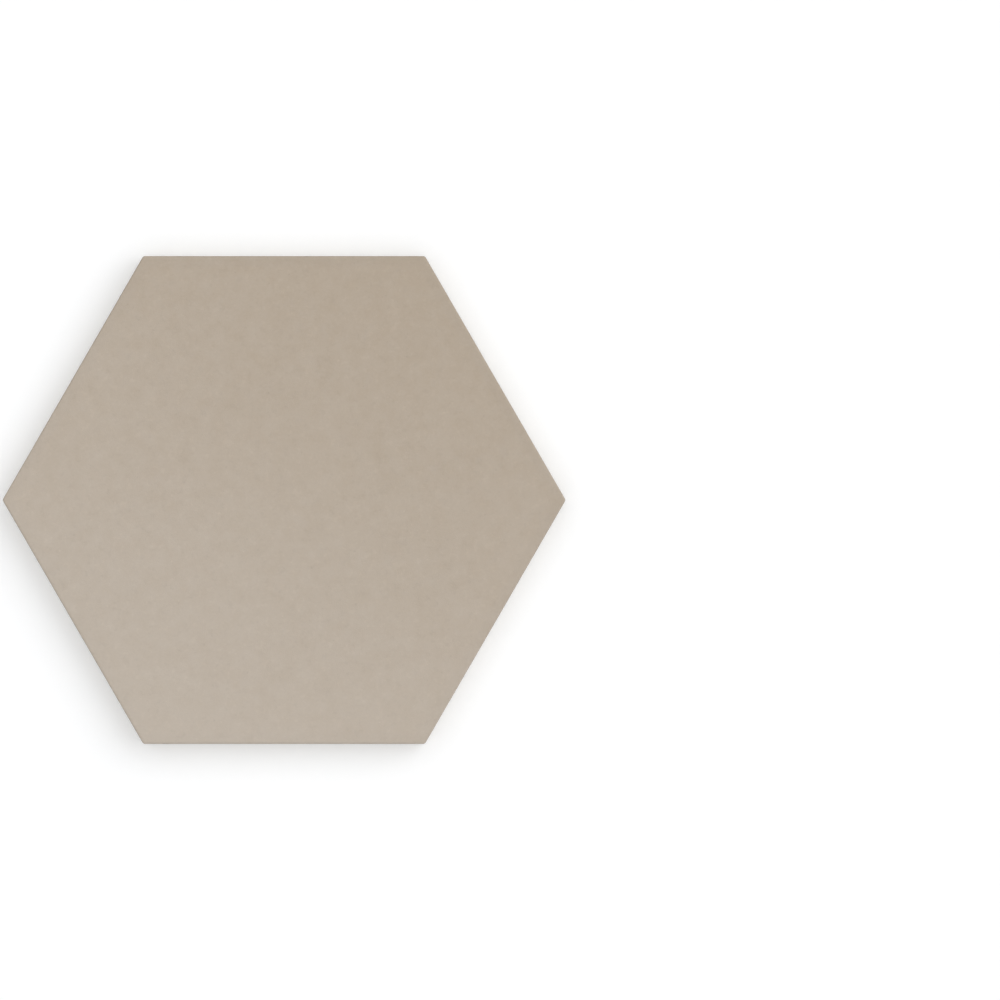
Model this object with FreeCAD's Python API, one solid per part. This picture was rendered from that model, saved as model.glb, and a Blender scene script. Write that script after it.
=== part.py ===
import FreeCAD, Part

import math
import os

# Hexagon floor tile: one dry-pressed, fired porcelain piece.
# It lies face up. Z is up and z = 0 is the plane that its back rests on.
# Two of its six sides face +Y and -Y, and two of its corners lie on the X axis.
# All sizes are in millimetres.

# The tile as laid: from side to side across its face, and from back to face
ACROSS_FLATS = 140.0
THICKNESS = 10.0

# Edges: the upright corners, the worn-soft edge round the face, the bevel round the back
CORNER_RADIUS = 1.0
ARRIS_RADIUS = 0.6
BACK_BEVEL = 1.0

# Keyed back: shallow six-sided pockets that the adhesive grips, with ribs left between them
POCKET_ACROSS_FLATS = 12.0
RIB_WIDTH = 3.5
POCKET_DEPTH = 0.8
POCKET_WALL_SLOPE_DEG = 45.0
BACK_MARGIN = 7.0

# Angles of a regular hexagon
SIDES = 6
TURN_DEG = 360.0 / SIDES
HALF_TURN = math.radians(TURN_DEG / 2)

# The arris can't be rounder than the upright corner that it runs round
ARRIS_SHARE_OF_CORNER = 0.95


def spoke(length, degrees, z=0.0):
    """The point at a distance from the Z axis, in a direction and at a height."""
    angle = math.radians(degrees)
    return FreeCAD.Vector(length * math.cos(angle), length * math.sin(angle), z)


def hexagon_corners(across_flats, first_corner_deg, z):
    """The six corners of a level regular hexagon, anticlockwise."""
    reach = across_flats / 2 / math.cos(HALF_TURN)
    return [spoke(reach, first_corner_deg + TURN_DEG * k, z) for k in range(SIDES)]


def polygon_face(points):
    """A flat face with these corners."""
    return Part.Face(Part.makePolygon(points + points[:1]))


def rounded_hexagon(across_flats, corner_radius):
    """A level hexagonal face at z = 0, with an arc in each corner tangent to both sides."""
    arc_centre_reach = (across_flats / 2 - corner_radius) / math.cos(HALF_TURN)
    arcs = []
    for k in range(SIDES):
        middle = TURN_DEG * k
        centre = spoke(arc_centre_reach, middle)
        start = centre + spoke(corner_radius, middle - TURN_DEG / 2)
        top = centre + spoke(corner_radius, middle)
        end = centre + spoke(corner_radius, middle + TURN_DEG / 2)
        arcs.append((start, top, end))
    edges = []
    for k, (start, top, end) in enumerate(arcs):
        next_start = arcs[(k + 1) % SIDES][0]
        edges.append(Part.Arc(start, top, end).toShape())
        edges.append(Part.LineSegment(end, next_start).toShape())
    return Part.Face(Part.Wire(edges))


def level_edges(shape, z):
    """The edges of a shape that lie wholly at one height."""
    return [e for e in shape.Edges if all(abs(v.Z - z) < 1e-6 for v in e.Vertexes)]


def pressed_blank():
    """The tile before its back is keyed: rounded corners, soft arris and bevelled back edge."""
    upright = FreeCAD.Vector(0, 0, THICKNESS)
    blank = rounded_hexagon(ACROSS_FLATS, CORNER_RADIUS).extrude(upright)
    arris = min(ARRIS_RADIUS, ARRIS_SHARE_OF_CORNER * CORNER_RADIUS)
    blank = blank.makeFillet(arris, level_edges(blank, THICKNESS))
    bevelled = polygon_face(hexagon_corners(ACROSS_FLATS, 0, 0)).extrude(upright)
    bevelled = bevelled.makeChamfer(BACK_BEVEL, level_edges(bevelled, 0))
    return blank.common(bevelled)


def back_pocket(centre):
    """The space of one pocket: a six-sided plug that narrows from the back's plane upwards."""
    narrowing = 2 * POCKET_DEPTH * math.tan(math.radians(POCKET_WALL_SLOPE_DEG))
    # The pocket's flats face its neighbours, so its corners are half a turn from theirs
    first_corner = TURN_DEG / 2
    mouth = hexagon_corners(POCKET_ACROSS_FLATS, first_corner, 0)
    floor = hexagon_corners(POCKET_ACROSS_FLATS - narrowing, first_corner, POCKET_DEPTH)
    faces = [polygon_face(mouth), polygon_face(floor)]
    for k in range(SIDES):
        after = (k + 1) % SIDES
        faces.append(polygon_face([mouth[k], mouth[after], floor[after], floor[k]]))
    plug = Part.Solid(Part.Shell(faces))
    plug.translate(centre)
    return plug


def pocket_centres():
    """Centres of the honeycomb: as many rings as the margin leaves, round a middle left plain."""
    pitch = POCKET_ACROSS_FLATS + RIB_WIDTH
    row_step = pitch * math.cos(HALF_TURN)
    pocket_reach = POCKET_ACROSS_FLATS / 2 / math.cos(HALF_TURN)
    room = ACROSS_FLATS / 2 - BACK_BEVEL - BACK_MARGIN - pocket_reach
    rings = int(room / row_step)
    centres = []
    for row in range(-rings, rings + 1):
        for place in range(-rings, rings + 1):
            ring = max(abs(row), abs(place), abs(row + place))
            if 1 <= ring <= rings:
                centres.append(FreeCAD.Vector(pitch * (place + row / 2), row_step * row, 0))
    return centres


def hexagon_tile():
    """The whole tile, one solid."""
    pockets = [back_pocket(centre) for centre in pocket_centres()]
    return pressed_blank().cut(pockets)


def main():
    """Writes the tile as one STEP file."""
    os.makedirs("parts", exist_ok=True)
    tile = hexagon_tile()
    solids = tile.Solids
    box = tile.BoundBox
    print("solids", len(solids), "valid", tile.isValid(), "volume", round(tile.Volume, 1))
    print("box", [round(s, 3) for s in (box.XLength, box.YLength, box.ZLength)])
    print("pockets", len(pocket_centres()))
    solids[0].exportStep("parts/hexagon_tile.step")


main()
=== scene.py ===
"""Looks of the hexagon floor tile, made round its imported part.

The tile lies face up with its back on z = 0, two of its corners on the X axis.
Lengths are in metres, or in millimetres where a name ends in _mm.
"""

import logging
import math
from dataclasses import dataclass
from enum import IntEnum
from typing import Callable

import bmesh
import bpy
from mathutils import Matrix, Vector


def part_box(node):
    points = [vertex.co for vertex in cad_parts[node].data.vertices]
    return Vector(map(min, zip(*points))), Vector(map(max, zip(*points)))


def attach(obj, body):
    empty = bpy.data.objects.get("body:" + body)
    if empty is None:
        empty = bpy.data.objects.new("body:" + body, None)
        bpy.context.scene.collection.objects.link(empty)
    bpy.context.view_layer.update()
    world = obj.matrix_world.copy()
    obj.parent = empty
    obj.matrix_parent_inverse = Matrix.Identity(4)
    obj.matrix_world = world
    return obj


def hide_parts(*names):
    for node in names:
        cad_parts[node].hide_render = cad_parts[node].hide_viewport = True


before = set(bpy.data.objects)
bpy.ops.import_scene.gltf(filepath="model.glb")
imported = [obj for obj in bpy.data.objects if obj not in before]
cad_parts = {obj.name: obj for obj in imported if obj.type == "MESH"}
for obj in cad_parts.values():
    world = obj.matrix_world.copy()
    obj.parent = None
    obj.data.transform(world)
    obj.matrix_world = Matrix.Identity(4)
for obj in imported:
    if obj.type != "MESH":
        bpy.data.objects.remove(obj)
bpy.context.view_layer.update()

MM = 0.001
PER_MM = 1000.0
CM3_PER_M3 = 1e6
SIDES = 6
SIXTH_TURN_DEG = 60.0
EIGHTH_TURN_DEG = 45.0
QUARTER_TURN_DEG = 90.0
OUTWARD_DEG = 0.0
DOWNWARD_DEG = -90.0
INWARD_DEG = 180.0
SEED_STEP_MM = 511.3
FULL_CHANNEL = 255
SRGB_TOE = 0.04045
SRGB_TOE_SLOPE = 12.92
SRGB_SHIFT = 0.055
SRGB_POWER = 2.4
COS_30 = math.cos(math.radians(SIXTH_TURN_DEG / 2))
COS_45 = math.cos(math.radians(EIGHTH_TURN_DEG))
TAN_22_5 = math.tan(math.radians(EIGHTH_TURN_DEG / 2))

TILE_NODE = "hexagon_tile"
TILE_PIECE = "pressed_tile"
TILE_BODY = "root"

log = logging.getLogger("tile")

Colour = tuple[float, float, float, float]


class Seed(IntEnum):
    """The fixed draw of each random pattern."""

    FACE_WAVE = 3
    FACE_PEEL = 8
    DRIFT = 14
    MOTTLE = 17
    CLOUD = 21
    GRAIN = 27
    FINE_GRAIN = 35
    SPECK = 41
    PALE_SPECK = 46
    BLOTCH = 49
    FIRED_GRAIN = 52
    PORE = 55
    DRAG = 58
    COLOUR_LINE = 63
    WASH = 70
    FLECK = 74


def linear(red: int, green: int, blue: int) -> Colour:
    """Turns a colour as a screen shows it into the light that the shaders work with.

    Args:
        red: From 0 to 255.
        green: From 0 to 255.
        blue: From 0 to 255.

    Returns:
        Red, green, blue and an alpha of 1.
    """
    light = []
    for channel in (red, green, blue):
        share = channel / FULL_CHANNEL
        if share <= SRGB_TOE:
            light.append(share / SRGB_TOE_SLOPE)
        else:
            light.append(((share + SRGB_SHIFT) / (1 + SRGB_SHIFT)) ** SRGB_POWER)
    return (light[0], light[1], light[2], 1.0)


class Signal:
    """One output of a node, on which arithmetic adds Math nodes."""

    def __init__(self, graph: "NodeGraph", socket: bpy.types.NodeSocket) -> None:
        """Keeps the output and the graph that it belongs to."""
        self.graph = graph
        self.socket = socket

    def __add__(self, other: "Operand") -> "Signal":
        """Sum."""
        return self.graph.math("ADD", self, other)

    def __radd__(self, other: "Operand") -> "Signal":
        """Sum, with the number first."""
        return self.graph.math("ADD", other, self)

    def __sub__(self, other: "Operand") -> "Signal":
        """Difference."""
        return self.graph.math("SUBTRACT", self, other)

    def __rsub__(self, other: "Operand") -> "Signal":
        """Difference, with the number first."""
        return self.graph.math("SUBTRACT", other, self)

    def __mul__(self, other: "Operand") -> "Signal":
        """Product."""
        return self.graph.math("MULTIPLY", self, other)

    def __rmul__(self, other: "Operand") -> "Signal":
        """Product, with the number first."""
        return self.graph.math("MULTIPLY", other, self)

    def __truediv__(self, other: "Operand") -> "Signal":
        """Quotient."""
        return self.graph.math("DIVIDE", self, other)

    def __rtruediv__(self, other: "Operand") -> "Signal":
        """Quotient, with the number first."""
        return self.graph.math("DIVIDE", other, self)

    def __neg__(self) -> "Signal":
        """Opposite."""
        return self.graph.math("MULTIPLY", self, -1.0)

    def __abs__(self) -> "Signal":
        """Size without sign."""
        return self.graph.math("ABSOLUTE", self)

    def __gt__(self, other: "Operand") -> "Signal":
        """1 where this is the greater, else 0."""
        return self.graph.math("GREATER_THAN", self, other)

    def __lt__(self, other: "Operand") -> "Signal":
        """1 where this is the smaller, else 0."""
        return self.graph.math("LESS_THAN", self, other)

    def at_least(self, floor: "Operand") -> "Signal":
        """The greater of this and a floor."""
        return self.graph.math("MAXIMUM", self, floor)

    def at_most(self, ceiling: "Operand") -> "Signal":
        """The smaller of this and a ceiling."""
        return self.graph.math("MINIMUM", self, ceiling)

    def clamped(self) -> "Signal":
        """This, held from 0 to 1."""
        return self.at_least(0.0).at_most(1.0)

    def floored(self) -> "Signal":
        """The whole number at or under this."""
        return self.graph.math("FLOOR", self)

    def rounded(self) -> "Signal":
        """The nearest whole number."""
        return self.graph.math("ROUND", self)

    def sine(self) -> "Signal":
        """Sine of this, in radians."""
        return self.graph.math("SINE", self)

    def cosine(self) -> "Signal":
        """Cosine of this, in radians."""
        return self.graph.math("COSINE", self)

    def ramp(self, start: "Operand", end: "Operand") -> "Signal":
        """Eases from 0 at the start to 1 at the end.

        Args:
            start: Where the ramp leaves 0. It may be the greater of the two.
            end: Where the ramp reaches 1.

        Returns:
            The eased share.
        """
        settings = {"interpolation_type": "SMOOTHSTEP"}
        ends = {"Value": self, "From Min": start, "From Max": end}
        return self.graph.node("ShaderNodeMapRange", settings, ends)["Result"]

    def parts(self) -> tuple["Signal", "Signal", "Signal"]:
        """The X, Y and Z of a vector."""
        split = self.graph.node("ShaderNodeSeparateXYZ", sockets={"Vector": self})
        return split["X"], split["Y"], split["Z"]


Operand = Signal | float | int


@dataclass(frozen=True)
class Outputs:
    """The outputs of one node."""

    graph: "NodeGraph"
    node: bpy.types.Node

    def __getitem__(self, key: str) -> Signal:
        """The output of this name or identifier."""
        return Signal(self.graph, NodeGraph.find(self.node.outputs, key))


class NodeGraph:
    """Adds nodes to one node tree."""

    def __init__(self, tree: bpy.types.NodeTree) -> None:
        """Starts with the tree emptied."""
        self.tree = tree
        tree.nodes.clear()

    @staticmethod
    def find(sockets: bpy.types.bpy_prop_collection, key: str) -> bpy.types.NodeSocket:
        """Picks a socket.

        Args:
            sockets: A node's inputs or outputs.
            key: The socket's identifier, or else its name.

        Returns:
            The first socket that fits.
        """
        for word in ("identifier", "name"):
            for socket in sockets:
                if getattr(socket, word) == key:
                    return socket
        raise KeyError(key)

    def node(
        self,
        kind: str,
        settings: dict[str, object] | None = None,
        sockets: dict[str, object] | None = None,
    ) -> Outputs:
        """Adds one node.

        Args:
            kind: The node's type.
            settings: The node's own properties, which are set before its sockets.
            sockets: A value, a link or a list of links for inputs, by identifier or name.

        Returns:
            The node's outputs.
        """
        node = self.tree.nodes.new(kind)
        for name, value in (settings or {}).items():
            setattr(node, name, value)
        for key, value in (sockets or {}).items():
            socket = self.find(node.inputs, key)
            links = value if isinstance(value, list) else [value]
            for link in links:
                if isinstance(link, Signal):
                    self.tree.links.new(link.socket, socket)
                else:
                    socket.default_value = link
        return Outputs(self, node)

    def math(self, operation: str, first: Operand, second: Operand = 0.0) -> Signal:
        """Adds a Math node.

        Args:
            operation: What it works out.
            first: Its first value.
            second: Its second value, where the operation has one.

        Returns:
            The result.
        """
        values = {"Value": first, "Value_001": second}
        return self.node("ShaderNodeMath", {"operation": operation}, values)["Value"]

    def vector(self, x: Operand, y: Operand, z: Operand) -> Signal:
        """A vector of three values."""
        return self.node("ShaderNodeCombineXYZ", sockets={"X": x, "Y": y, "Z": z})["Vector"]

    def drawn(self, place_mm: Signal, seed: Seed) -> Signal:
        """Moves a place far off, to where no other seed looks its pattern up.

        Args:
            place_mm: The place.
            seed: Which draw it is for.

        Returns:
            The moved place.
        """
        shift = seed * SEED_STEP_MM
        moved = {"Vector": place_mm, "Vector_001": (shift, shift, shift)}
        return self.node("ShaderNodeVectorMath", {"operation": "ADD"}, moved)["Vector"]


class ShaderGraph(NodeGraph):
    """Adds the nodes of a material or of the world."""

    def place_mm(self) -> Signal:
        """The point of the surface.

        Returns:
            Its place in the tile's own frame, in millimetres.
        """
        place = self.node("ShaderNodeTexCoord")["Object"]
        scaled = {"Vector": place, "Scale": PER_MM}
        return self.node("ShaderNodeVectorMath", {"operation": "SCALE"}, scaled)["Vector"]

    def stretched(self, place_mm: Signal, by: tuple[float, float, float]) -> Signal:
        """A place with each of its three parts scaled, which stretches what is looked up there."""
        scaled = {"Vector": place_mm, "Vector_001": by}
        return self.node("ShaderNodeVectorMath", {"operation": "MULTIPLY"}, scaled)["Vector"]

    def mix(self, share: Operand, first: object, second: object) -> Signal:
        """Mixes two colours.

        Args:
            share: How much of the second there is, from 0 to 1.
            first: Colour or link.
            second: Colour or link.

        Returns:
            The mixed colour.
        """
        values = {"Factor_Float": share, "A_Color": first, "B_Color": second}
        return self.node("ShaderNodeMix", {"data_type": "RGBA"}, values)["Result_Color"]

    def blend(self, share: Operand, first: Operand, second: Operand) -> Signal:
        """Mixes two numbers in the same way."""
        values = {"Factor_Float": share, "A_Float": first, "B_Float": second}
        return self.node("ShaderNodeMix", {"data_type": "FLOAT"}, values)["Result_Float"]

    def shaded(self, colour: object, gain: Signal) -> Signal:
        """A colour made lighter or darker by a gain that is near 1."""
        scaled = {"Vector": colour, "Scale": gain}
        return self.node("ShaderNodeVectorMath", {"operation": "SCALE"}, scaled)["Vector"]


@dataclass(frozen=True)
class Pattern:
    """A soft random pattern, by how far apart its lumps lie and how much finer detail it has."""

    size_mm: float
    seed: Seed
    detail: float = 2.0
    detail_strength: float = 0.5

    def at(self, g: NodeGraph, place_mm: Signal) -> Signal:
        """Looks the pattern up.

        Args:
            g: The nodes that it is added to.
            place_mm: Where it is looked up.

        Returns:
            Values with a mean of 0, seldom beyond 0.25 either way.
        """
        sockets = {
            "Vector": g.drawn(place_mm, self.seed),
            "Scale": 1.0 / self.size_mm,
            "Detail": self.detail,
            "Roughness": self.detail_strength,
        }
        return g.node("ShaderNodeTexNoise", sockets=sockets)["Fac"] - 0.5


@dataclass(frozen=True)
class Specks:
    """Small round spots scattered at random. Most are smaller than the radius that is given."""

    apart_mm: float
    radius_mm: float
    seed: Seed

    def at(self, g: NodeGraph, place_mm: Signal) -> Signal:
        """Looks the spots up.

        Args:
            g: The nodes that they are added to.
            place_mm: Where they are looked up.

        Returns:
            1 within a spot, 0 outside.
        """
        sockets = {"Vector": g.drawn(place_mm, self.seed), "Scale": 1.0 / self.apart_mm}
        cells = g.node("ShaderNodeTexVoronoi", sockets=sockets)
        draw, _, _ = cells["Color"].parts()
        radius = draw * (self.radius_mm / self.apart_mm)
        return cells["Distance"].ramp(radius, radius * 0.5)


class GeometryGraph(NodeGraph):
    """Adds the nodes of a mesh that follows a rule, and makes the mesh."""

    def __init__(self, name: str) -> None:
        """Starts an empty tree with a geometry output.

        Args:
            name: What the tree and its mesh are called.
        """
        super().__init__(bpy.data.node_groups.new(name, "GeometryNodeTree"))
        self.tree.interface.new_socket(
            name="Geometry", in_out="OUTPUT", socket_type="NodeSocketGeometry"
        )
        self.given: dict[str, object] = {}
        self.entry = Outputs(self, self.tree.nodes.new("NodeGroupInput"))

    def size(self, name: str, value: float) -> Signal:
        """Adds a length to the tree's inputs.

        Args:
            name: What the input is called.
            value: What the modifier gives it.

        Returns:
            The length, as the tree reads it.
        """
        return self.given_input(name, "NodeSocketFloat", value)

    def given_input(self, name: str, kind: str, value: object) -> Signal:
        """Adds an input of any kind, and notes its value under its identifier.

        Args:
            name: What the input is called.
            kind: Its socket's type.
            value: What the modifier gives it.

        Returns:
            The input, as the tree reads it.
        """
        made = self.tree.interface.new_socket(name=name, in_out="INPUT", socket_type=kind)
        self.given[made.identifier] = value
        return self.entry[made.identifier]

    def position(self) -> tuple[Signal, Signal, Signal]:
        """X, Y and Z of each point of the mesh that reads them."""
        return self.node("GeometryNodeInputPosition")["Position"].parts()

    def grid(self, columns: int, rows: int) -> Signal:
        """A flat grid about the origin, with its vertices one unit apart.

        Args:
            columns: Vertices along X.
            rows: Vertices along Y.

        Returns:
            The grid.
        """
        sockets = {
            "Size X": float(columns - 1),
            "Size Y": float(rows - 1),
            "Vertices X": columns,
            "Vertices Y": rows,
        }
        return self.node("GeometryNodeMeshGrid", sockets=sockets)["Mesh"]

    def placed(self, mesh: Signal, x: Operand, y: Operand, z: Operand) -> Signal:
        """A mesh with each of its points put at a place."""
        sockets = {"Geometry": mesh, "Position": self.vector(x, y, z)}
        return self.node("GeometryNodeSetPosition", sockets=sockets)["Geometry"]

    def joined(self, *meshes: Signal) -> Signal:
        """Several geometries as one."""
        sockets = {"Geometry": list(meshes)}
        return self.node("GeometryNodeJoinGeometry", sockets=sockets)["Geometry"]

    def welded(self, mesh: Signal, distance: float) -> Signal:
        """A mesh whose points closer than a distance are merged."""
        sockets = {"Geometry": mesh, "Distance": distance}
        return self.node("GeometryNodeMergeByDistance", sockets=sockets)["Geometry"]

    def without(self, mesh: Signal, points: Signal) -> Signal:
        """A mesh with some of its points deleted."""
        sockets = {"Geometry": mesh, "Selection": points}
        return self.node("GeometryNodeDeleteGeometry", {"domain": "POINT"}, sockets)["Geometry"]

    def rim(self, mesh: Signal) -> Signal:
        """The open edges of a mesh, as curves.

        Args:
            mesh: The mesh.

        Returns:
            One closed curve for each opening.
        """
        faces = self.node("GeometryNodeInputMeshEdgeNeighbors")["Face Count"]
        sockets = {"Mesh": mesh, "Selection": faces < 2}
        return self.node("GeometryNodeMeshToCurve", sockets=sockets)["Curve"]

    def mesh(self, geometry: Signal, material: bpy.types.Material) -> bpy.types.Mesh:
        """Ends the tree and turns its result into a plain mesh.

        Args:
            geometry: What the tree makes.
            material: What it is dressed in.

        Returns:
            The mesh, with no modifier and no instance.
        """
        worn = self.given_input("Material", "NodeSocketMaterial", material)
        real = self.node("GeometryNodeRealizeInstances", sockets={"Geometry": geometry})["Geometry"]
        dressed = {"Geometry": real, "Material": worn}
        result = self.node("GeometryNodeSetMaterial", sockets=dressed)["Geometry"]
        self.node("NodeGroupOutput", sockets={"Geometry": result})
        seed_mesh = bpy.data.meshes.new(self.tree.name)
        carrier = bpy.data.objects.new(self.tree.name, seed_mesh)
        bpy.context.scene.collection.objects.link(carrier)
        modifier = carrier.modifiers.new(self.tree.name, "NODES")
        modifier.node_group = self.tree
        for identifier, value in self.given.items():
            modifier[identifier] = value
        evaluated = carrier.evaluated_get(bpy.context.evaluated_depsgraph_get())
        plain = bpy.data.meshes.new_from_object(evaluated)
        bpy.data.objects.remove(carrier)
        bpy.data.meshes.remove(seed_mesh)
        return plain


@dataclass(frozen=True)
class Run:
    """A straight stretch of a section."""

    outward: Operand
    upward: Operand
    steps: int = 1

    def travel(self, share: Signal) -> tuple[Signal, Signal]:
        """How far a share of the stretch leads outwards and upwards."""
        return share * self.outward, share * self.upward


@dataclass(frozen=True)
class Bend:
    """A stretch of a section that turns with one radius. A heading of 0 is outwards, 90 is up."""

    radius: Operand
    heading_deg: float
    turn_deg: float
    steps: int

    def travel(self, share: Signal) -> tuple[Signal, Signal]:
        """How far a share of the bend leads.

        Args:
            share: How much of the bend is walked, from 0 to 1.

        Returns:
            The way outwards and the way upwards.
        """
        start = math.radians(self.heading_deg)
        heading = share * math.radians(self.turn_deg) + start
        hand = math.copysign(1.0, self.turn_deg)
        outward = (heading.sine() - math.sin(start)) * self.radius * hand
        upward = (math.cos(start) - heading.cosine()) * self.radius * hand
        return outward, upward


Leg = Run | Bend


@dataclass(frozen=True)
class Outline:
    """A hexagon with rounded corners, as a rule for the columns of a grid."""

    side_steps: int
    corner_steps: int
    first_corner_deg: float

    @property
    def columns(self) -> int:
        """Columns once round."""
        return SIDES * (self.side_steps + self.corner_steps)

    def band(
        self,
        g: GeometryGraph,
        start: tuple[Operand, Operand],
        legs: list[Leg],
        corner_radius: Callable[[Signal, Signal], Signal],
    ) -> Signal:
        """Sweeps a section round the hexagon.

        Args:
            g: The tree that it is made in.
            start: Distance from the axis to a side, and height, where the section starts.
            legs: The section, in order.
            corner_radius: Gives the corner's radius for a row and its distance from the axis.

        Returns:
            A mesh, open where the section starts and where it ends.
        """
        rows = 1 + sum(leg.steps for leg in legs)
        across, along, _ = g.position()
        column = (across + self.columns / 2).rounded()
        row = (along + (rows - 1) / 2).rounded()
        reach, height = self.walk(row, start, legs)
        radius = corner_radius(row, reach)
        per_sixth = self.side_steps + self.corner_steps
        sixth = ((column + 0.5) / per_sixth).floored()
        place = column - sixth * per_sixth
        round_share = (place / self.corner_steps).clamped()
        side_share = ((place - self.corner_steps) / self.side_steps).clamped()
        centre_reach = (reach - radius) / COS_30
        sixth_turn = math.radians(SIXTH_TURN_DEG)
        corner = sixth * sixth_turn + math.radians(self.first_corner_deg)
        facing = corner + (round_share - 0.5) * sixth_turn
        side_way = corner + 2 * sixth_turn
        x = (corner.cosine() + side_way.cosine() * side_share) * centre_reach
        y = (corner.sine() + side_way.sine() * side_share) * centre_reach
        x = x + facing.cosine() * radius
        y = y + facing.sine() * radius
        return g.placed(g.grid(self.columns + 1, rows), x, y, height)

    @staticmethod
    def walk(
        row: Signal, start: tuple[Operand, Operand], legs: list[Leg]
    ) -> tuple[Signal, Signal]:
        """Follows a section from row to row.

        Args:
            row: Which row a point is in.
            start: Distance from the axis and height of the first row.
            legs: The section, in order.

        Returns:
            Distance from the axis and height of the point's row.
        """
        reach, height = start
        first = 0
        for leg in legs:
            share = ((row - first) / leg.steps).clamped()
            outward, upward = leg.travel(share)
            reach = outward + reach
            height = upward + height
            first += leg.steps
        return reach, height


def hexagon_distance(x: Signal, y: Signal) -> Signal:
    """How far out a point lies, measured square to the nearest side of a hexagon.

    Args:
        x: Along the axis that two of the corners lie on.
        y: Along the axis that two of the sides face.

    Returns:
        The distance from the middle, the same all along a hexagon about it.
    """
    slant = abs(x) * COS_30 + abs(y) * 0.5
    return slant.at_least(abs(y))


@dataclass(frozen=True)
class Lattice:
    """Points in rows of even triangles, as the vertices of a face or the places of a pattern."""

    rings: int

    def points(self, g: GeometryGraph, spacing: Operand) -> Signal:
        """A mesh of rhombs, larger than the hexagon of the rings.

        Args:
            g: The tree that it is made in.
            spacing: From point to point.

        Returns:
            The mesh, level at z = 0.
        """
        count = 2 * self.rings + 1
        place, row, _ = g.position()
        x = (place + row * 0.5) * spacing
        y = row * COS_30 * spacing
        return g.placed(g.grid(count, count), x, y, 0.0)

    def ring_distance(self, ring: float, spacing: Operand) -> Operand:
        """How far out a ring lies, square to its sides."""
        return spacing * (ring * COS_30)


@dataclass(frozen=True)
class TileEdge:
    """Softened arris, upright side, back bevel and plain rim, in one band all round."""

    corner_radius: float = 1.0 * MM
    arris_radius: float = 0.6 * MM
    back_bevel: float = 1.0 * MM
    eased_radius: float = 0.25 * MM
    back_rim: float = 2.2 * MM
    corner_steps: int = 6
    arris_steps: int = 7
    side_steps: int = 8
    bevel_steps: int = 2
    eased_steps: int = 2

    def band(self, g: GeometryGraph, apothem: Signal, thickness: Signal, columns: int) -> Signal:
        """Makes the band, from the flat of the face to the flat of the back.

        Args:
            g: The tree that it is made in.
            apothem: From the axis to a side.
            thickness: From back to face.
            columns: Columns along each straight side.

        Returns:
            A mesh whose two openings are plain hexagons.
        """
        corner = g.size("Corner Radius", self.corner_radius)
        arris = g.size("Arris Radius", self.arris_radius)
        bevel = g.size("Back Bevel", self.back_bevel)
        eased = g.size("Eased Edge Radius", self.eased_radius)
        rim = g.size("Back Rim", self.back_rim)
        cut_back = eased * TAN_22_5
        slope = bevel - cut_back * (2 * COS_45)
        legs = [
            Run(corner - arris, 0.0),
            Bend(arris, OUTWARD_DEG, -QUARTER_TURN_DEG, self.arris_steps),
            Run(0.0, arris + bevel + cut_back - thickness, self.side_steps),
            Bend(eased, DOWNWARD_DEG, -EIGHTH_TURN_DEG, self.eased_steps),
            Run(-slope, -slope, self.bevel_steps),
            Bend(eased, DOWNWARD_DEG - EIGHTH_TURN_DEG, -EIGHTH_TURN_DEG, self.eased_steps),
            Run(bevel + cut_back - rim, 0.0),
        ]
        outline = Outline(columns, self.corner_steps, 0.0)
        start = (apothem - corner, thickness)
        return outline.band(
            g, start, legs, lambda row, reach: (reach - apothem + corner).at_least(0.0)
        )


@dataclass(frozen=True)
class TileFace:
    """The flat top, with the faint waves and peel that pressing and firing leave."""

    waves: Pattern = Pattern(24.0, Seed.FACE_WAVE)
    wave_depth: float = 0.030 * MM
    peel: Pattern = Pattern(3.2, Seed.FACE_PEEL)
    peel_depth: float = 0.012 * MM
    calm_border: float = 1.6 * MM

    def sheet(self, g: GeometryGraph, side: Signal, height: Signal, columns: int) -> Signal:
        """Makes the face as even triangles.

        Args:
            g: The tree that it is made in.
            side: Length of one side of the face's hexagon.
            height: Where the face lies.
            columns: Triangles along each side.

        Returns:
            A mesh whose edge is a plain hexagon.
        """
        wave_depth = g.size("Wave Depth", self.wave_depth)
        peel_depth = g.size("Peel Depth", self.peel_depth)
        calm = g.size("Calm Border", self.calm_border)
        lattice = Lattice(columns)
        spacing = side / columns
        rhombs = {"Mesh": lattice.points(g, spacing)}
        halves = {"quad_method": "SHORTEST_DIAGONAL"}
        triangles = g.node("GeometryNodeTriangulate", halves, rhombs)["Mesh"]
        x, y, _ = g.position()
        out = hexagon_distance(x, y)
        spare = out > lattice.ring_distance(columns + 0.5, spacing)
        hexagon = g.without(triangles, spare)
        place_mm = g.vector(x * PER_MM, y * PER_MM, 0.0)
        waves = self.waves.at(g, place_mm) + 0.5
        peel = self.peel.at(g, place_mm) + 0.5
        border = side * COS_30
        inner = out.ramp(border, border - calm)
        sunk = (waves * wave_depth + peel * peel_depth) * inner
        return g.placed(hexagon, x, y, height - sunk)


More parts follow.
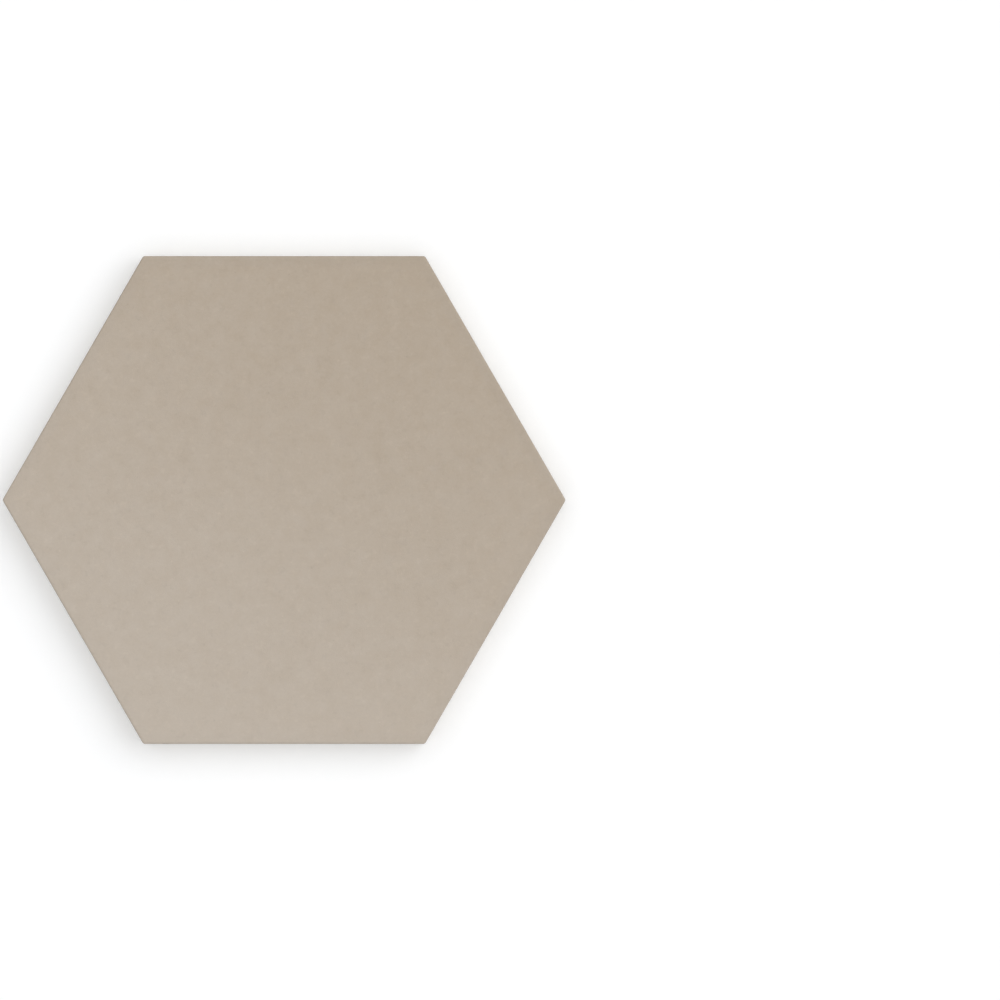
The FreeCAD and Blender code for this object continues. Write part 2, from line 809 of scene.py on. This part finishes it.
@dataclass(frozen=True)
class KeyedBack:
    """The honeycomb of shallow pockets that adhesive grips."""

    pocket_across_flats: float = 12.0 * MM
    rib_width: float = 3.5 * MM
    pocket_depth: float = 0.8 * MM
    margin: float = 7.0 * MM
    eased_radius: float = 0.3 * MM
    corner_radius: float = 1.6 * MM
    side_steps: int = 4
    corner_steps: int = 3
    eased_steps: int = 2

    def rings(self, apothem: float, bevel: float) -> int:
        """How many rings of pockets the back has room for.

        Args:
            apothem: From the tile's axis to a side.
            bevel: Width of the back bevel.

        Returns:
            The number of rings round the plain middle.
        """
        pocket_reach = self.pocket_across_flats / 2 / COS_30
        room = apothem - bevel - self.margin - pocket_reach
        return int(room / (self.pitch * COS_30))

    @property
    def pitch(self) -> float:
        """From pocket to pocket."""
        return self.pocket_across_flats + self.rib_width

    def cell(self, g: GeometryGraph, pitch: Signal) -> Signal:
        """Makes one pocket with the half ribs round it.

        Args:
            g: The tree that it is made in.
            pitch: From pocket to pocket.

        Returns:
            A mesh whose edge is a plain hexagon at z = 0.
        """
        mouth = g.size("Pocket Across Flats", self.pocket_across_flats) * 0.5
        depth = g.size("Pocket Depth", self.pocket_depth)
        eased = g.size("Pocket Edge Radius", self.eased_radius)
        corner = g.size("Pocket Corner Radius", self.corner_radius)
        lip = mouth + eased * TAN_22_5
        wall = depth - eased * (2 * (1 - COS_45))
        floor_edge = lip - wall - eased * (2 * COS_45)
        sharp = mouth - corner
        legs = [
            Run(lip - pitch * 0.5, 0.0),
            Bend(eased, INWARD_DEG, -EIGHTH_TURN_DEG, self.eased_steps),
            Run(-wall, wall),
            Bend(eased, INWARD_DEG - EIGHTH_TURN_DEG, EIGHTH_TURN_DEG, self.eased_steps),
            Run(sharp - floor_edge, 0.0),
            Run(-sharp, 0.0),
        ]
        outline = Outline(self.side_steps, self.corner_steps, SIXTH_TURN_DEG / 2)
        return outline.band(
            g,
            (pitch * 0.5, 0.0),
            legs,
            lambda row, reach: (reach - sharp).at_least(0.0) * row.at_most(1.0),
        )

    def honeycomb(self, g: GeometryGraph, rings: int) -> Signal:
        """Repeats the pocket all over the back.

        Args:
            g: The tree that it is made in.
            rings: How many rings there are round the plain middle.

        Returns:
            A mesh with a stepped edge, and a hole in the middle.
        """
        pitch = g.size("Pocket Pitch", self.pitch)
        lattice = Lattice(rings)
        points = lattice.points(g, pitch)
        x, y, _ = g.position()
        out = hexagon_distance(x, y)
        within = out < lattice.ring_distance(rings + 0.5, pitch)
        beyond_middle = out > lattice.ring_distance(0.5, pitch)
        sockets = {
            "Points": points,
            "Selection": within * beyond_middle,
            "Instance": self.cell(g, pitch),
        }
        cells = g.node("GeometryNodeInstanceOnPoints", sockets=sockets)["Instances"]
        return g.node("GeometryNodeRealizeInstances", sockets={"Geometry": cells})["Geometry"]


@dataclass(frozen=True)
class Layer:
    """What one finish shows at each point: its colour, its roughness and its height."""

    colour: Signal
    roughness: Signal
    height_mm: Signal


@dataclass(frozen=True)
class MattFace:
    """The coloured face: a warm tone that drifts into a paler, greyer one, with a mineral grain."""

    warm: Colour = linear(172, 158, 141)
    pale: Colour = linear(185, 174, 161)
    # The whole face turns from the warm tone to the pale one towards 240 degrees, the lower left
    # seen from above.
    drift_toward_deg: float = 240.0
    drift_length_mm: float = 156.0
    wander: Pattern = Pattern(51.0, Seed.DRIFT)
    wander_share: float = 0.22
    mottle: Pattern = Pattern(4.5, Seed.MOTTLE, detail=4.0, detail_strength=0.72)
    mottle_share: float = 0.85
    cloud: Pattern = Pattern(17.0, Seed.CLOUD, detail=4.0)
    cloud_strength: float = 0.028
    cloud_roughness: float = 0.08
    grain: Pattern = Pattern(0.75, Seed.GRAIN, detail=3.0, detail_strength=0.6)
    grain_strength: float = 0.09
    grain_roughness: float = 0.12
    fine_grain: Pattern = Pattern(0.3, Seed.FINE_GRAIN)
    fine_grain_strength: float = 0.05
    fine_grain_height_mm: float = 0.03
    peel: Pattern = Pattern(2.0, Seed.FACE_PEEL)
    peel_height_mm: float = 0.02
    dark_specks: Specks = Specks(3.1, 0.42, Seed.SPECK)
    pale_specks: Specks = Specks(2.3, 0.32, Seed.PALE_SPECK)
    speck_strength: float = 0.06
    flecks: Pattern = Pattern(1.7, Seed.FLECK, detail=3.0)
    fleck_rarity: float = 0.09
    fleck_blur: float = 0.08
    fleck_strength: float = 0.03
    arris_height_mm: float = 0.3
    arris_strength: float = 0.02
    roughness: float = 0.62

    def layer(self, g: ShaderGraph, place_mm: Signal, depth_mm: Signal) -> Layer:
        """Works the finish out.

        Args:
            g: The material's nodes.
            place_mm: The point of the surface.
            depth_mm: How far below the face it lies.

        Returns:
            The finish at that point.
        """
        x, y, _ = place_mm.parts()
        way = math.radians(self.drift_toward_deg)
        along = (x * math.cos(way) + y * math.sin(way)) / self.drift_length_mm
        wander = self.wander.at(g, place_mm) * self.wander_share
        mottle = self.mottle.at(g, place_mm) * self.mottle_share
        tone = g.mix((along + wander + mottle + 0.5).clamped(), self.warm, self.pale)
        cloud = self.cloud.at(g, place_mm)
        grain = self.grain.at(g, place_mm)
        fine = self.fine_grain.at(g, place_mm)
        specks = self.pale_specks.at(g, place_mm) - self.dark_specks.at(g, place_mm)
        lump = self.flecks.at(g, place_mm)
        full = self.fleck_rarity + self.fleck_blur
        flecks = lump.ramp(self.fleck_rarity, full) - lump.ramp(-self.fleck_rarity, -full)
        gain = (
            cloud * self.cloud_strength
            + grain * self.grain_strength
            + fine * self.fine_grain_strength
            + specks * self.speck_strength
            + flecks * self.fleck_strength
            - depth_mm.ramp(0.0, self.arris_height_mm) * self.arris_strength
            + 1.0
        )
        peel = self.peel.at(g, place_mm)
        height = fine * self.fine_grain_height_mm + peel * self.peel_height_mm
        roughness = cloud * self.cloud_roughness + grain * self.grain_roughness + self.roughness
        return Layer(g.shaded(tone, gain), roughness, height)


@dataclass(frozen=True)
class FiredBody:
    """The bare fired clay of the sides and the back, with the upright drag of the die."""

    pale: Colour = linear(207, 198, 184)
    warm: Colour = linear(191, 180, 163)
    blotch: Pattern = Pattern(5.0, Seed.BLOTCH, detail=4.0)
    blotch_contrast: float = 1.6
    grain: Pattern = Pattern(0.55, Seed.FIRED_GRAIN, detail=3.0, detail_strength=0.65)
    grain_strength: float = 0.16
    grain_roughness: float = 0.1
    grain_height_mm: float = 0.09
    drag: Pattern = Pattern(0.8, Seed.DRAG)
    drag_stretch: float = 9.0
    drag_strength: float = 0.09
    drag_height_mm: float = 0.05
    pores: Specks = Specks(1.8, 0.24, Seed.PORE)
    # The pores are painted darker by this share: painted shade inside the small holes, besides
    # their bump depth.
    pore_painted_shade: float = 0.13
    pore_depth_mm: float = 0.06
    roughness: float = 0.86

    def layer(self, g: ShaderGraph, place_mm: Signal) -> Layer:
        """Works the finish out.

        Args:
            g: The material's nodes.
            place_mm: The point of the surface.

        Returns:
            The finish at that point.
        """
        blotch = self.blotch.at(g, place_mm) * self.blotch_contrast + 0.5
        tone = g.mix(blotch.clamped(), self.warm, self.pale)
        grain = self.grain.at(g, place_mm)
        drag = self.drag.at(g, g.stretched(place_mm, (1.0, 1.0, 1.0 / self.drag_stretch)))
        pore = self.pores.at(g, place_mm)
        gain = 1.0 + grain * self.grain_strength + drag * self.drag_strength
        # Painted shade: each pore's colour is darkened, as well as being sunk by the bump below.
        gain = gain - pore * self.pore_painted_shade
        height = grain * self.grain_height_mm + drag * self.drag_height_mm
        height = height - pore * self.pore_depth_mm
        roughness = grain * self.grain_roughness + self.roughness
        return Layer(g.shaded(tone, gain), roughness, height)


@dataclass(frozen=True)
class KilnWash:
    """The white powder that keeps a tile off the kiln's rollers, left on the back's ribs."""

    tone: Colour = linear(226, 222, 214)
    reach_mm: float = 0.12
    patches: Pattern = Pattern(4.0, Seed.WASH, detail=5.0, detail_strength=0.62)
    patch_contrast: float = 2.4
    cover: float = 0.62
    roughness: float = 0.95

    def share(self, g: ShaderGraph, place_mm: Signal) -> Signal:
        """How much of the surface the wash covers.

        Args:
            g: The material's nodes.
            place_mm: The point of the surface.

        Returns:
            The covered share, from 0 to 1.
        """
        _, _, z = place_mm.parts()
        patchy = self.patches.at(g, place_mm) * self.patch_contrast + self.cover
        return z.ramp(self.reach_mm, 0.0) * patchy.clamped()


@dataclass(frozen=True)
class Porcelain:
    """The tile's one material: coloured face, bare body below it, and wash on the back."""

    face: MattFace = MattFace()
    body: FiredBody = FiredBody()
    wash: KilnWash = KilnWash()
    colour_depth_mm: float = 1.15
    colour_line: Pattern = Pattern(2.6, Seed.COLOUR_LINE, detail=3.0)
    colour_line_wander_mm: float = 0.7
    colour_line_blur_mm: float = 0.12
    coat_thickness_mm: float = 0.05
    ior: float = 1.5

    def material(self, thickness_mm: float) -> bpy.types.Material:
        """Builds the material.

        Args:
            thickness_mm: Height of the tile's face.

        Returns:
            The material.
        """
        material = bpy.data.materials.new("matt_porcelain")
        material.use_nodes = True
        g = ShaderGraph(material.node_tree)
        place = g.place_mm()
        _, _, z = place.parts()
        depth = thickness_mm - z
        face = self.face.layer(g, place, depth)
        body = self.body.layer(g, place)
        line = self.colour_line.at(g, place) * self.colour_line_wander_mm + self.colour_depth_mm
        bare = depth.ramp(line - self.colour_line_blur_mm, line + self.colour_line_blur_mm)
        washed = self.wash.share(g, place)
        colour = g.mix(bare, face.colour, body.colour)
        colour = g.mix(washed, colour, self.wash.tone)
        roughness = g.blend(bare, face.roughness, body.roughness)
        roughness = g.blend(washed, roughness, self.wash.roughness)
        height = g.blend(bare, face.height_mm + self.coat_thickness_mm, body.height_mm)
        bump = {"Height": height, "Distance": MM, "Strength": 1.0}
        sockets = {
            "Base Color": colour,
            "Roughness": roughness,
            "Normal": g.node("ShaderNodeBump", sockets=bump)["Normal"],
            "IOR": self.ior,
        }
        shader = g.node("ShaderNodeBsdfPrincipled", sockets=sockets)["BSDF"]
        g.node("ShaderNodeOutputMaterial", sockets={"Surface": shader})
        return material


@dataclass(frozen=True)
class HexagonTile:
    """The whole tile, one pressed and fired piece."""

    across_flats: float
    thickness: float
    edge: TileEdge = TileEdge()
    face: TileFace = TileFace()
    back: KeyedBack = KeyedBack()
    finish: Porcelain = Porcelain()
    columns: int = 104
    weld: float = 0.001 * MM
    sharp_deg: float = 32.0

    @classmethod
    def from_frame(cls, node: str) -> "HexagonTile":
        """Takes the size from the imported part.

        Args:
            node: The part's node that the tile stands for.

        Returns:
            The tile, at that size.
        """
        low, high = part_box(node)
        return cls(across_flats=high.y - low.y, thickness=high.z - low.z)

    def mesh(self, material: bpy.types.Material) -> bpy.types.Mesh:
        """Makes the closed mesh of the tile.

        Args:
            material: What it is dressed in.

        Returns:
            The mesh.
        """
        g = GeometryGraph(TILE_PIECE)
        apothem = g.size("Across Flats", self.across_flats) * 0.5
        thickness = g.size("Thickness", self.thickness)
        band = self.edge.band(g, apothem, thickness, self.columns)
        flat_side = (apothem - self.edge.corner_radius) / COS_30
        face = self.face.sheet(g, flat_side, thickness, self.columns)
        rings = self.back.rings(self.across_flats / 2, self.edge.back_bevel)
        honeycomb = g.welded(self.back.honeycomb(g, rings), self.weld)
        shell = g.welded(g.joined(band, face), self.weld)
        rims = g.joined(g.rim(shell), g.rim(honeycomb))
        land = g.node("GeometryNodeFillCurve", {"mode": "TRIANGLES"}, {"Curve": rims})["Mesh"]
        whole = g.welded(g.joined(shell, land, honeycomb), self.weld)
        return g.mesh(whole, material)

    def piece(self) -> bpy.types.Object:
        """Builds the finished tile in place of its CAD node.

        Returns:
            The tile.
        """
        mesh = self.mesh(self.finish.material(self.thickness * PER_MM))
        self.tidy(mesh)
        tile = bpy.data.objects.new(TILE_PIECE, mesh)
        bpy.context.scene.collection.objects.link(tile)
        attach(tile, TILE_BODY)
        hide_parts(TILE_NODE)
        return tile

    def tidy(self, mesh: bpy.types.Mesh) -> None:
        """Turns the faces outwards, smooths what is round and keeps what is sharp.

        Args:
            mesh: The tile's mesh.
        """
        work = bmesh.new()
        work.from_mesh(mesh)
        bmesh.ops.recalc_face_normals(work, faces=work.faces)
        open_edges = sum(1 for edge in work.edges if len(edge.link_faces) != 2)
        log.info("mesh: %d faces, %d open edges, %.1f cm3", len(work.faces), open_edges,
                 work.calc_volume(signed=True) * CM3_PER_M3)
        work.to_mesh(mesh)
        work.free()
        mesh.shade_smooth()
        mesh.set_sharp_from_angle(angle=math.radians(self.sharp_deg))


@dataclass(frozen=True)
class Lamp:
    """A broad, soft lamp: where it stands in the sky, how wide it is and what it gives."""

    name: str
    toward_deg: float
    tilt_deg: float
    spread_deg: float
    strength: float

    def build(self) -> bpy.types.Object:
        """Makes the lamp.

        Returns:
            The lamp.
        """
        light = bpy.data.lights.new(self.name, "SUN")
        light.energy = self.strength
        light.angle = math.radians(self.spread_deg)
        lamp = bpy.data.objects.new(self.name, light)
        bpy.context.scene.collection.objects.link(lamp)
        toward, tilt = math.radians(self.toward_deg), math.radians(self.tilt_deg)
        source = Vector(
            (math.sin(tilt) * math.cos(toward), math.sin(tilt) * math.sin(toward), math.cos(tilt))
        )
        lamp.visible_glossy = False
        lamp.rotation_mode = "QUATERNION"
        lamp.rotation_quaternion = source.to_track_quat("Z", "Y")
        return lamp


@dataclass(frozen=True)
class Studio:
    """A white floor under a broad, soft key light, a lower side light and a plain fill."""

    key: Lamp = Lamp("key", toward_deg=39.5, tilt_deg=4.4, spread_deg=120.0, strength=2.25)
    side: Lamp = Lamp("side", toward_deg=25.0, tilt_deg=47.4, spread_deg=57.4, strength=0.747)
    fill_strength: float = 0.124
    floor_half: float = 4.0
    floor_drop: float = 0.02 * MM
    floor_paint: Colour = linear(251, 252, 253)
    floor_glow: float = 1.325
    floor_shadow_share: float = 0.854

    def build(self) -> None:
        """Makes the lamps, the world and the floor."""
        self.key.build()
        self.side.build()
        self.world()
        self.floor()

    @staticmethod
    def seen(g: ShaderGraph) -> Signal:
        """Tells which rays show the backdrop: straight, mirrored or through glass.

        Args:
            g: The nodes of the world or of the floor.

        Returns:
            1 for such a ray, 0 for light on its way to a surface.
        """
        path = g.node("ShaderNodeLightPath")
        mirrored = path["Is Glossy Ray"] + path["Is Transmission Ray"]
        return (path["Is Camera Ray"] + mirrored).at_most(1.0)

    def world(self) -> None:
        """Makes the world: white to look at, and a dim even fill."""
        world = bpy.data.worlds.new("studio")
        bpy.context.scene.world = world
        world.use_nodes = True
        g = ShaderGraph(world.node_tree)
        strength = g.blend(self.seen(g), self.fill_strength, 1.0)
        white = {"Color": (1.0, 1.0, 1.0, 1.0), "Strength": strength}
        background = g.node("ShaderNodeBackground", sockets=white)["Background"]
        g.node("ShaderNodeOutputWorld", sockets={"Surface": background})

    def floor(self) -> bpy.types.Object:
        """Makes the floor, which looks white and still takes the tile's soft shadow.

        Returns:
            The floor.
        """
        half = self.floor_half
        corners = [(-half, -half), (half, -half), (half, half), (-half, half)]
        mesh = bpy.data.meshes.new("studio_floor")
        points = [(x, y, -self.floor_drop) for x, y in corners]
        mesh.from_pydata(points, [], [tuple(range(len(points)))])
        floor = bpy.data.objects.new("studio_floor", mesh)
        bpy.context.scene.collection.objects.link(floor)
        material = bpy.data.materials.new("studio_white")
        material.use_nodes = True
        g = ShaderGraph(material.node_tree)
        lit = g.node("ShaderNodeBsdfDiffuse", sockets={"Color": self.floor_paint})["BSDF"]
        glow = g.node("ShaderNodeEmission", sockets={"Strength": self.floor_glow})["Emission"]
        share = self.seen(g) * (1.0 - self.floor_shadow_share)
        mixed = {"Fac": share, "Shader": lit, "Shader_001": glow}
        surface = g.node("ShaderNodeMixShader", sockets=mixed)["Shader"]
        g.node("ShaderNodeOutputMaterial", sockets={"Surface": surface})
        mesh.materials.append(material)
        return floor


@dataclass(frozen=True)
class Camera:
    """A long lens straight above, framed as the photograph is."""

    picture_px: float = 1000.0
    tile_across_flats_px: float = 488.1
    tile_centre_px: tuple[float, float] = (283.5, 499.5)
    lens_mm: float = 200.0
    sensor_mm: float = 36.0

    def build(self, tile: HexagonTile) -> bpy.types.Object:
        """Makes the camera.

        Args:
            tile: The tile that it looks at.

        Returns:
            The camera.
        """
        metres_per_px = tile.across_flats / self.tile_across_flats_px
        middle_px = (self.picture_px - 1) / 2
        right = (middle_px - self.tile_centre_px[0]) * metres_per_px
        up = (self.tile_centre_px[1] - middle_px) * metres_per_px
        distance = self.picture_px * metres_per_px * self.lens_mm / self.sensor_mm
        data = bpy.data.cameras.new("camera")
        data.lens = self.lens_mm
        data.sensor_width = self.sensor_mm
        camera = bpy.data.objects.new("camera", data)
        bpy.context.scene.collection.objects.link(camera)
        camera.location = (right, up, tile.thickness + distance)
        bpy.context.scene.camera = camera
        return camera


def main() -> None:
    """Builds the tile, the studio and the camera."""
    logging.basicConfig(level=logging.INFO, format="%(name)s: %(message)s")
    bpy.context.scene.view_settings.view_transform = "Standard"
    tile = HexagonTile.from_frame(TILE_NODE)
    piece = tile.piece()
    log.info("%s: %d triangles", piece.name, sum(len(p.vertices) - 2 for p in piece.data.polygons))
    Studio().build()
    Camera().build(tile)


if __name__ == "__main__":
    main()
